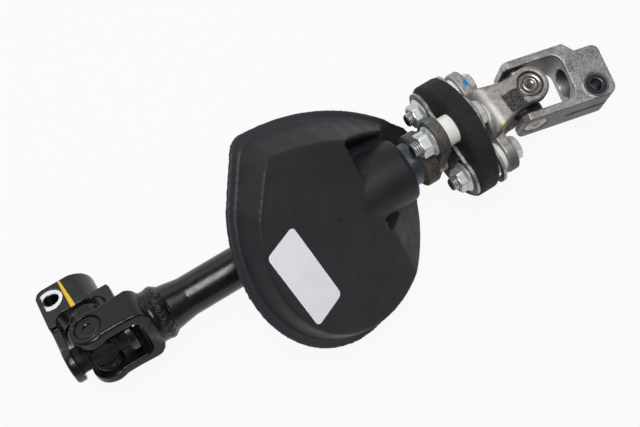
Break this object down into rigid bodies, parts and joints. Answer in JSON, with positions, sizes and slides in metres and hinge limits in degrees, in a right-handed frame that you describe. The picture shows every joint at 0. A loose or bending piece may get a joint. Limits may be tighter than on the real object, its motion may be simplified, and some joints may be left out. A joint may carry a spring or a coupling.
{
  "type": "steering intermediate shaft",
  "caption": "Steering coupling: telescoping shaft with a universal joint and clamp yoke at each end, a bolted rubber disc, and a moulded dash cover.",
  "frame": {"origin": "centre of the column clamp's bore", "axes": "+X along the main shaft towards the steering column, +Z along the pin of the upper joint's flange yoke"},
  "size_m": [0.3441, 0.1147, 0.1129],
  "materials": {
    "moulded_cover": "moulded black, satin",
    "bush_nylon": "natural nylon",
    "white_nylon": "white nylon",
    "black_rubber": "matte",
    "label_paper": "matt white film",
    "black_paint": "black semi-gloss",
    "tube_steel": "drawn, heat tinted near the weld",
    "brown_steel": "forged, oiled brown",
    "forged_steel": "forged and shot blasted",
    "zinc_steel": "zinc plated",
    "bearing_steel": "ground"
  },
  "bodies": {
    "dash_cover": {"cover": "moulded_cover", "cover_bush": "bush_nylon", "boss_lip_seal": "black_rubber", "blank_label": "label_paper"},
    "upper_shaft": {"upper_tube": "tube_steel", "shaft_flange": "brown_steel", "tube_mouth_cap": "black_rubber", "shaft_flange_bolts": "zinc_steel", "shaft_flange_nuts": "zinc_steel", "shaft_flange_spacers": "white_nylon", "shaft_side_sleeves": "zinc_steel", "rubber_disc": "black_rubber", "column_side_stop_plate": "zinc_steel"},
    "lower_shaft": {"lower_tube": "black_paint", "slide_sleeve": "bush_nylon", "lower_fork": "black_paint", "lower_fork_cups": "black_paint", "lower_fork_needles": "bearing_steel", "lower_fork_seals": "black_rubber"},
    "lower_spider": {"lower_cross": "bearing_steel"},
    "gear_end": {"gear_yoke": "black_paint", "gear_yoke_cups": "black_paint", "gear_yoke_needles": "bearing_steel", "gear_yoke_seals": "black_rubber"},
    "coupling_yoke": {"flange_yoke": "forged_steel", "flange_yoke_cups": "bearing_steel", "flange_yoke_needles": "bearing_steel", "flange_yoke_seals": "black_rubber", "yoke_flange_bolts": "zinc_steel", "yoke_flange_nuts": "zinc_steel", "yoke_flange_spacers": "white_nylon", "yoke_side_sleeves": "zinc_steel", "shaft_side_stop_plate": "zinc_steel"},
    "upper_spider": {"upper_cross": "bearing_steel"},
    "column_end": {"column_yoke": "forged_steel", "column_yoke_cups": "bearing_steel", "column_yoke_needles": "bearing_steel", "column_yoke_seals": "black_rubber"}
  },
  "joints": [
    {"name": "shaft_spin", "type": "hinge", "parent": "dash_cover", "child": "upper_shaft", "pos_m": [-0.1292, 0.00763, 0], "axis": [1, 0, 0], "continuous": true},
    {"name": "shaft_slide", "type": "slide", "parent": "upper_shaft", "child": "lower_shaft", "axis": [1, 0, 0], "range_m": [-0.018, 0.026]},
    {"name": "lower_cross_hinge", "type": "hinge", "parent": "lower_shaft", "child": "lower_spider", "pos_m": [-0.3112, 0.00763, 0], "axis": [0, 0.4879, 0.8729], "range_deg": [0, 180]},
    {"name": "gear_yoke_hinge", "type": "hinge", "parent": "lower_spider", "child": "gear_end", "pos_m": [-0.3112, 0.00763, 0], "axis": [1, 0, 0], "range_deg": [-12, 12]},
    {"name": "coupling_twist", "type": "hinge", "parent": "upper_shaft", "child": "coupling_yoke", "pos_m": [-0.0842, 0.00763, 0], "axis": [1, 0, 0], "range_deg": [-3.5, 3.5], "stiffness_Nm_per_rad": 60, "deforming": ["rubber_disc"]},
    {"name": "upper_cross_hinge", "type": "hinge", "parent": "coupling_yoke", "child": "upper_spider", "pos_m": [-0.0359, 0.00763, 0], "axis": [0, 0, 1], "range_deg": [-18, 42]},
    {"name": "column_yoke_hinge", "type": "hinge", "parent": "upper_spider", "child": "column_end", "pos_m": [-0.0359, 0.00763, 0], "axis": [0.2079, 0.9781, 0], "range_deg": [-15, 15]}
  ]
}
